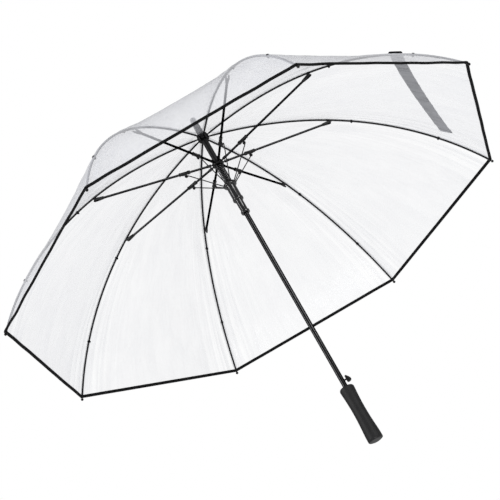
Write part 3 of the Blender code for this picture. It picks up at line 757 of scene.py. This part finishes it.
# ------------------------------------------------------------------ stretchers, connectors, wires
REACH = hypot(CLIP_R - HUB_HINGE_R, CLIP_Z - HUB_Z)
RISE = atan2(CLIP_Z - HUB_Z, CLIP_R - HUB_HINGE_R)
EYE_ALONG = (EYE_R - HUB_HINGE_R) * cos(RISE) + (EYE_Z - HUB_Z) * sin(RISE)
EYE_DOWN = (EYE_Z - HUB_Z) * cos(RISE) - (EYE_R - HUB_HINGE_R) * sin(RISE)
ON_STRETCHER = Matrix.Translation((HUB_HINGE_R, 0, HUB_Z)) @ Matrix.Rotation(-RISE, 4, "Y")


def bar(sections, z=0.0, y=0.0):
    """(x, half width, half height, corner) along X, as a swept rounded bar."""
    return sweep([(Vector((x, y, z)), Y_, Z_, rounded(a, b, c)) for x, a, b, c in sections])


def channel(start, end, w, h, wall):
    outline = [(-w, -h), (-w, h - 0.0007), (-w + 0.0007, h), (w - 0.0007, h), (w, h - 0.0007), (w, -h),
               (w - wall, -h), (w - wall, h - wall), (-w + wall, h - wall), (-w + wall, -h)]
    return sweep([(Vector((x, 0, 0)), Y_, Z_, outline) for x in (start, (start + end) / 2, end)])


def stretcher_shell():
    shell = Shell()
    shell.add(*bar(((-0.0013, 0.0007, 0.0009, 0.0004), (-0.0009, 0.0009, 0.0013, 0.0006), (0.0060, 0.0009, 0.0013, 0.0003),
                    (0.0085, 0.0009, 0.0013, 0.0003))))
    shell.add(*bar(((0.0062, 0.0021, 0.0017, 0.0006), (0.0067, 0.0026, 0.0022, 0.0007), (0.0150, 0.0026, 0.0022, 0.0007),
                    (0.0172, 0.0022, 0.0018, 0.0006))))
    shell.add(*channel(0.0160, REACH - 0.0142, 0.0021, 0.0017, 0.0006))
    shell.add(*bar(((REACH - 0.0160, 0.0009, 0.0013, 0.0003), (REACH - 0.0110, 0.0009, 0.0013, 0.0003),
                    (REACH - 0.0068, 0.0009, 0.0013, 0.0003))))
    return shell


def bracket_shell():
    """Moulded sleeve on the stretcher with the eyelet that the pull wire hooks into."""
    shell = Shell()
    a = EYE_ALONG - 0.0115
    shell.add(*bar(((a, 0.0025, 0.0023, 0.0009), (a + 0.0006, 0.0033, 0.0030, 0.0009), (a + 0.0055, 0.0034, 0.0031, 0.0009),
                    (a + 0.0066, 0.0029, 0.0027, 0.0009), (a + 0.0215, 0.0029, 0.0027, 0.0009), (a + 0.0226, 0.0033, 0.0030, 0.0009),
                    (a + 0.0240, 0.0033, 0.0030, 0.0009), (a + 0.0248, 0.0026, 0.0023, 0.0009))))
    shell.add(*bar(((EYE_ALONG - 0.0034, 0.0009, 0.0008, 0.0003), (EYE_ALONG - 0.0020, 0.0013, 0.0016, 0.0005),
                    (EYE_ALONG + 0.0060, 0.0013, 0.0016, 0.0005), (EYE_ALONG + 0.0085, 0.0009, 0.0008, 0.0003)), z=-0.0030))
    ring = [(EYE_ALONG + 0.0026 * cos(t), 0.0, EYE_DOWN + 0.0026 * sin(t)) for t in [2 * pi * k / 20 for k in range(21)]]
    shell.add(*tube(ring, 0.00115, 10))
    shell.add(*tube([(EYE_ALONG, -0.0013, EYE_DOWN), (EYE_ALONG, -0.0010, EYE_DOWN), (EYE_ALONG, 0.0008, EYE_DOWN),
                     (EYE_ALONG, WIRE_SIDE - WIRE_R - GAP, EYE_DOWN)], [0.0013, 0.0017, 0.0017, 0.0013], 14))
    return shell


def fork_shell():
    shell = Shell()
    a = REACH - 0.0180
    shell.add(*bar(((a, 0.0023, 0.0019, 0.0009), (a + 0.0006, 0.0028, 0.0023, 0.0010), (a + 0.0060, 0.0032, 0.0025, 0.0010),
                    (a + 0.0090, 0.0037, 0.0026, 0.0010), (REACH - 0.0068, 0.0038, 0.0026, 0.0010),
                    (REACH - 0.0060, 0.0036, 0.0024, 0.0008))))
    for sign in (-1, 1):
        y = sign * 0.00298
        shell.add(*bar(((REACH - 0.0068, 0.00082, 0.0025, 0.0005), (REACH, 0.00082, 0.0027, 0.0005),
                        (REACH + 0.0020, 0.00082, 0.0025, 0.0005), (REACH + 0.0033, 0.00080, 0.0019, 0.0005),
                        (REACH + 0.0040, 0.00070, 0.0013, 0.0004), (REACH + 0.0042, 0.0005, 0.0006, 0.0003)), y=y))
        head = [(0.0011, 0.0), (0.0013, 0.0004), (0.0009, 0.0008), (0.0002, 0.0010)]
        points = [(REACH, sign * (0.0036 + d), 0) for _, d in head]
        shell.add(*tube(points, [r for r, _ in head], 14))
    return shell


def wire_shell():
    reach, drop = EYE_R - RING_HINGE_R, EYE_Z - RING_Z
    knots = [(-0.0004, 0, -0.0003), (0.10 * reach, 0.0, 0.10 * drop), (0.90 * reach, WIRE_SIDE, 0.90 * drop),
             (reach + 0.0008, WIRE_SIDE, drop + 0.0006)]
    line = []
    for k in range(len(knots) - 1):
        a, b = Vector(knots[k]), Vector(knots[k + 1])
        n = 12 if k == 1 else 3
        line += [a.lerp(b, i / n) for i in range(n)]
    line.append(Vector(knots[-1]))
    shell = Shell().add(*tube(line, WIRE_R * 1.1, 10), Matrix.Translation((RING_HINGE_R, 0, RING_Z)))
    # bent end that hooks in the collar
    hook = [(RING_HINGE_R - 0.0003, y, RING_Z - 0.0002) for y in (-0.0012, 0.0, 0.0012)]
    return shell.add(*tube(hook, 0.00085, 10))


def shared(name, shell, mat, matrix=None, sharp=40):
    """One mesh that all its copies share."""
    obj = finish_mesh(name, shell.verts, shell.faces, mat, sharp=sharp, matrix=None)
    if matrix is not None:
        obj.data.transform(matrix)
    mesh = obj.data
    bpy.data.objects.remove(obj, do_unlink=True)
    return mesh


def copy_of(mesh, name, turn):
    obj = bpy.data.objects.new(name, mesh)
    bpy.context.scene.collection.objects.link(obj)
    obj.matrix_world = about_z(turn)
    return obj


rib_mesh = shared("rib_rod", rib_shell(), ROD)
tip_mesh = shared("rib_end_cap", tip_shell(), PLASTIC)
tie_meshes = [shared("seam_tie", tie_shell(s), THREAD) for s in (0.318, 0.508)]
stretcher_mesh = shared("stretcher_bar", stretcher_shell(), CHANNEL, ON_STRETCHER)
fork_mesh = shared("stretcher_fork", fork_shell(), PLASTIC, ON_STRETCHER)
bracket_mesh = shared("wire_bracket", bracket_shell(), PLASTIC, ON_STRETCHER)
wire_mesh = shared("wire_link", wire_shell(), WIRE)

for i in range(RIBS):
    n, turn = i + 1, rib_angle(i)
    stand_for(copy_of(rib_mesh, f"rib_rod_{n}", turn), f"rib_{n}_body", "fibreglass_rod", f"rib_{n}")
    stand_for(copy_of(tip_mesh, f"rib_end_cap_{n}", turn), f"rib_{n}_body", "black_plastic", f"rib_tip_{n}")
    for k, mesh in enumerate(tie_meshes):
        stand_for(copy_of(mesh, f"seam_tie_{n}_{k + 1}", turn), f"rib_{n}_body", "black_plastic")
    stand_for(copy_of(stretcher_mesh, f"stretcher_bar_{n}", turn), f"stretcher_{n}_body", "black_channel", f"stretcher_{n}")
    stand_for(copy_of(bracket_mesh, f"wire_bracket_{n}", turn), f"stretcher_{n}_body", "black_plastic")
    stand_for(copy_of(fork_mesh, f"stretcher_fork_{n}", turn), f"stretcher_{n}_body", "black_plastic", f"rib_connector_{n}")
    stand_for(copy_of(wire_mesh, f"wire_link_{n}", turn), f"pull_wire_{n}_body", "steel_wire", f"pull_wire_{n}")

for name in ("notch_pin", "hub_pin"):
    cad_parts[name].data.materials.clear()
    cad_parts[name].data.materials.append(WIRE)


# ------------------------------------------------------------------ canopy
def between_ribs(obj, shares, a, b):
    """Sets each point to its share of the way across, bakes the object's transform, and puts every point back where it
    was.
    """
    final = [v.co.copy() for v in obj.data.vertices]
    for v, t in zip(obj.data.vertices, shares):
        v.co = (t, 0.0, 0.0)
    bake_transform(obj)
    for v, p in zip(obj.data.vertices, final):
        v.co = p
    obj.data.update()
    return obj


ROWS = [0.0, 0.003, 0.006, 0.010, 0.016, 0.025] + [0.025 + (FILM_EDGE - 0.025) * (k + 1) / 74 for k in range(74)]
COLS = 44
SHARES = [0.5 - 0.5 * cos(pi * (0.10 + 0.80 * k / COLS)) for k in range(COLS + 1)]
SHARES = [(x - SHARES[0]) / (SHARES[-1] - SHARES[0]) for x in SHARES]


def sheet_grid(rows, cols, point, share):
    verts, uvs, shares, faces = [], [], [], []
    for j in range(rows + 1):
        for i in range(cols + 1):
            verts.append(point(j, i))
            uvs.append((i / cols, j / rows))
            shares.append(share(j, i))
    for j in range(rows):
        for i in range(cols):
            a = j * (cols + 1) + i
            faces.append((a, a + 1, a + cols + 2, a + cols + 1))
    return verts, faces, uvs, shares


for i in range(RIBS):
    n, turn = i + 1, about_z(rib_angle(i))
    ends = (f"rib_{n}_body", f"canopy_panel_{n}_body")

    def on_film(j, c, turn=turn, i=i):
        return turn @ film_point(ROWS[j], SHARES[c], panel=i)

    verts, faces, uvs, shares = sheet_grid(len(ROWS) - 1, COLS, on_film, lambda j, c: SHARES[c])
    uvs = [(SHARES[m % (COLS + 1)], ROWS[m // (COLS + 1)] / FILM_EDGE) for m in range(len(verts))]
    film = finish_mesh(f"film_gore_{n}", verts, faces, FILM, solid=False, uvs=uvs, sharp=0)
    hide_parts(f"canopy_panel_{n}")
    between_ribs(film, shares, *ends)

    # rim tape, folded over the film's edge
    stations, shares = [], []
    for k in range(33):
        t = k / 32
        p = turn @ film_point(FILM_EDGE - 0.0020, t, panel=i)
        q = turn @ film_point(FILM_EDGE - 0.0080, t, panel=i)
        along = (p - q).normalized()
        side = (turn @ film_point(FILM_EDGE - 0.0020, min(1, t + 0.02), panel=i)
                - turn @ film_point(FILM_EDGE - 0.0020, max(0, t - 0.02), panel=i)).normalized()
        up = side.cross(along).normalized()
        outline = rounded(0.0034, 0.0022, 0.0020, 3)
        stations.append((p, along, up, outline))
        shares += [t] * len(outline)
    verts, faces = sweep(stations)
    uvs = []
    for k in range(33):
        uvs += [(k / 32, m / 16) for m in range(16)]
    tape = finish_mesh(f"rim_tape_{n}", [tuple(v) for v in verts], faces, TAPE, uvs=uvs)
    between_ribs(tape, shares, *ends)

    # welded seam over the rib: the two gores' lapped edges, with a raised weld line along each side
    half = 0.0052
    profile = [(-half, 0.0), (-half + 0.0005, 0.00010), (-half + 0.0010, 0.00028), (-half + 0.0015, 0.00010), (-0.0012, 0.00006),
               (0.0012, 0.00006), (half - 0.0015, 0.00010), (half - 0.0010, 0.00028), (half - 0.0005, 0.00010), (half, 0.0)]
    verts, faces, uvs = [], [], []
    count = 90
    for j in range(count + 1):
        s = 0.014 + (FILM_EDGE - 0.0065 - 0.014) * j / count
        r = rib_point(s)[0]
        for m, (y, h) in enumerate(profile):
            # each half lies on its own gore
            share = min(0.5, abs(y) / (2 * r * sin(SECTOR / 2)))
            if y >= 0:
                p = turn @ film_point(s, share, lift=0.00025 + h, panel=i)
            else:
                p = about_z(rib_angle(i) - SECTOR) @ film_point(s, 1 - share, lift=0.00025 + h, panel=(i - 1) % RIBS)
            verts.append(tuple(p))
            uvs.append((m / (len(profile) - 1), j / count))
    w = len(profile)
    for j in range(count):
        for m in range(w - 1):
            faces.append((j * w + m, j * w + m + 1, (j + 1) * w + m + 1, (j + 1) * w + m))
    seam = finish_mesh(f"weld_seam_{n}", verts, faces, SEAM, solid=False, uvs=uvs, sharp=0)
    stand_for(seam, f"rib_{n}_body", "clear_film")

# ------------------------------------------------------------------ closing strap
last = RIBS - 1
turn = about_z(rib_angle(last))
LENGTHS, WIDTHS = 40, 10
start, end = Vector((*STRAP_START, 0)), Vector((*STRAP_END, 0))


def strap_place(j, c):
    t, w = j / LENGTHS, 2 * c / WIDTHS - 1
    slant = -0.019 * w * (t ** 6)
    length = start.x + (end.x - start.x) * t + STRAP_BOW * t * (1 - t) + w * STRAP_W / 2
    across = start.y + (end.y - start.y) * t + slant
    return length, across


def on_strap(j, c):
    length, across = strap_place(j, c)
    wave = 0.0003 * sin(j * 1.9 + c * 0.4)
    return turn @ film_point(length, across, lift=0.0012 + wave, panel=last)


verts, faces, uvs, shares = sheet_grid(LENGTHS, WIDTHS, on_strap, lambda j, c: min(1.0, max(0.0, strap_place(j, c)[1])))
uvs = [(v, u) for u, v in uvs]
strap = finish_mesh("strap_band", verts, faces, STRAP, solid=False, uvs=uvs, sharp=0)
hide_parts("closing_strap")
between_ribs(strap, shares, f"rib_{RIBS}_body", f"canopy_panel_{RIBS}_body")
strap_length = (film_point(*STRAP_END) - film_point(*STRAP_START)).length

# sewn hem where the strap starts beside the rib
stations = []
for c in range(13):
    w = -1 + 2 * c / 12
    length = STRAP_START[0] + w * (STRAP_W / 2 + 0.0006)
    p = turn @ film_point(length, 0.004, lift=0.0018, panel=last)
    q = turn @ film_point(length, 0.016, lift=0.0018, panel=last)
    ahead = (turn @ film_point(length + 0.004, 0.004, lift=0.0018, panel=last) - p).normalized()
    along = (q - p).normalized()
    thin = 0.55 if c in (0, 12) else 1.0
    stations.append((p, along, ahead.cross(along).normalized(), rounded(0.0048 * thin, 0.0015 * thin, 0.0012 * thin, 3)))
hem = finish_mesh("strap_hem", *sweep(stations), TAPE, uvs=[(k // 16 / 12, k % 16 / 16) for k in range(13 * 16)])
stand_for(hem, f"rib_{RIBS}_body", "strap_film")

# ------------------------------------------------------------------ stage, light, camera
scene = bpy.context.scene
scene.view_settings.view_transform = "Standard"
scene.view_settings.look = "None"

floor_mesh = bpy.data.meshes.new("studio_floor")
bm = bmesh.new()
bmesh.ops.create_circle(bm, cap_ends=True, segments=96, radius=40.0)
bm.to_mesh(floor_mesh)
bm.free()
floor = bpy.data.objects.new("studio_floor", floor_mesh)
floor.location = (0, 0, -1.25)
scene.collection.objects.link(floor)
paper, nodes, links, shader = blank("pale_floor", (0.90, 0.90, 0.90), 0.9)
grain = noise_node(nodes, links, coordinates(nodes, links, "Object", (1, 1, 1)), 30, 3.0)
links.new(tint(nodes, links, grain, (0.26, 0.26, 0.26), (0.30, 0.30, 0.30)), shader.inputs["Base Color"])
shader.inputs["Emission Color"].default_value = (1.0, 1.0, 1.0, 1.0)
place = nodes.new("ShaderNodeTexCoord")
distance = nodes.new("ShaderNodeVectorMath")
distance.operation = "LENGTH"
links.new(place.outputs["Object"], distance.inputs[0])
glow = spread(nodes, links, distance.outputs["Value"], 0.72, 0.93, 1.5, 14.0)
seen = nodes.new("ShaderNodeLightPath")
shown = nodes.new("ShaderNodeMix")
shown.inputs[2].default_value = 0.52            # light the floor gives the object
links.new(seen.outputs["Is Camera Ray"], shown.inputs[0])
links.new(glow, shown.inputs[3])
links.new(shown.outputs[0], shader.inputs["Emission Strength"])
floor_mesh.materials.append(paper)

world = bpy.data.worlds.new("studio")
scene.world = world
world.use_nodes = True
sky = world.node_tree.nodes["Background"]
sky.inputs["Color"].default_value = (1.0, 1.0, 1.0, 1.0)
backdrop = world.node_tree.nodes.new("ShaderNodeLightPath")
level = world.node_tree.nodes.new("ShaderNodeMapRange")
level.inputs["To Min"].default_value = 0.32      # light that falls on the object
level.inputs["To Max"].default_value = 1.0       # the white backdrop itself
world.node_tree.links.new(backdrop.outputs["Is Camera Ray"], level.inputs["Value"])
world.node_tree.links.new(level.outputs["Result"], sky.inputs["Strength"])


def soft_light(name, location, target, size, power):
    data = bpy.data.lights.new(name, "AREA")
    data.shape, data.size, data.size_y, data.energy = "RECTANGLE", size[0], size[1], power
    obj = bpy.data.objects.new(name, data)
    obj.location = location
    obj.visible_camera = False
    obj.rotation_mode = "QUATERNION"
    obj.rotation_quaternion = (Vector(target) - Vector(location)).to_track_quat("-Z", "Y")
    scene.collection.objects.link(obj)


soft_light("key", (2.2, -2.4, 1.9), (0, 0, 0.5), (1.2, 1.2), 56)
soft_light("fill", (-2.6, -1.6, 0.9), (0, 0, 0.5), (0.8, 1.6), 40)
soft_light("edge", (-2.3, -1.45, 2.1), (0, 0, 0.4), (0.5, 1.2), 20)
soft_light("under", (0.4, -1.0, -1.1), (0.4, -1.0, 0.6), (1.0, 0.6), 12.5)

CAMERA_AT = Vector((0.04213663, -2.70304328, -0.90316908))
RIGHT = Vector((0.86409337, 0.24356803, -0.44047391))
DOWN = Vector((-0.50294382, 0.38348008, -0.77459056))
AHEAD = Vector((-0.01975253, 0.8908522, 0.45386363))
camera_data = bpy.data.cameras.new("camera")
camera_data.sensor_width = 36.0
camera_data.lens = 1512.3549 / 500 * 36.0
camera_data.shift_x = (250 - 255.99326) / 500
camera_data.shift_y = (248.13092 - 250) / 500
camera_data.clip_start, camera_data.clip_end = 0.05, 60
camera = bpy.data.objects.new("camera", camera_data)
camera.matrix_world = Matrix((
    (RIGHT.x, -DOWN.x, -AHEAD.x, CAMERA_AT.x),
    (RIGHT.y, -DOWN.y, -AHEAD.y, CAMERA_AT.y),
    (RIGHT.z, -DOWN.z, -AHEAD.z, CAMERA_AT.z),
    (0, 0, 0, 1)))
scene.collection.objects.link(camera)
scene.camera = camera

bpy.context.view_layer.update()
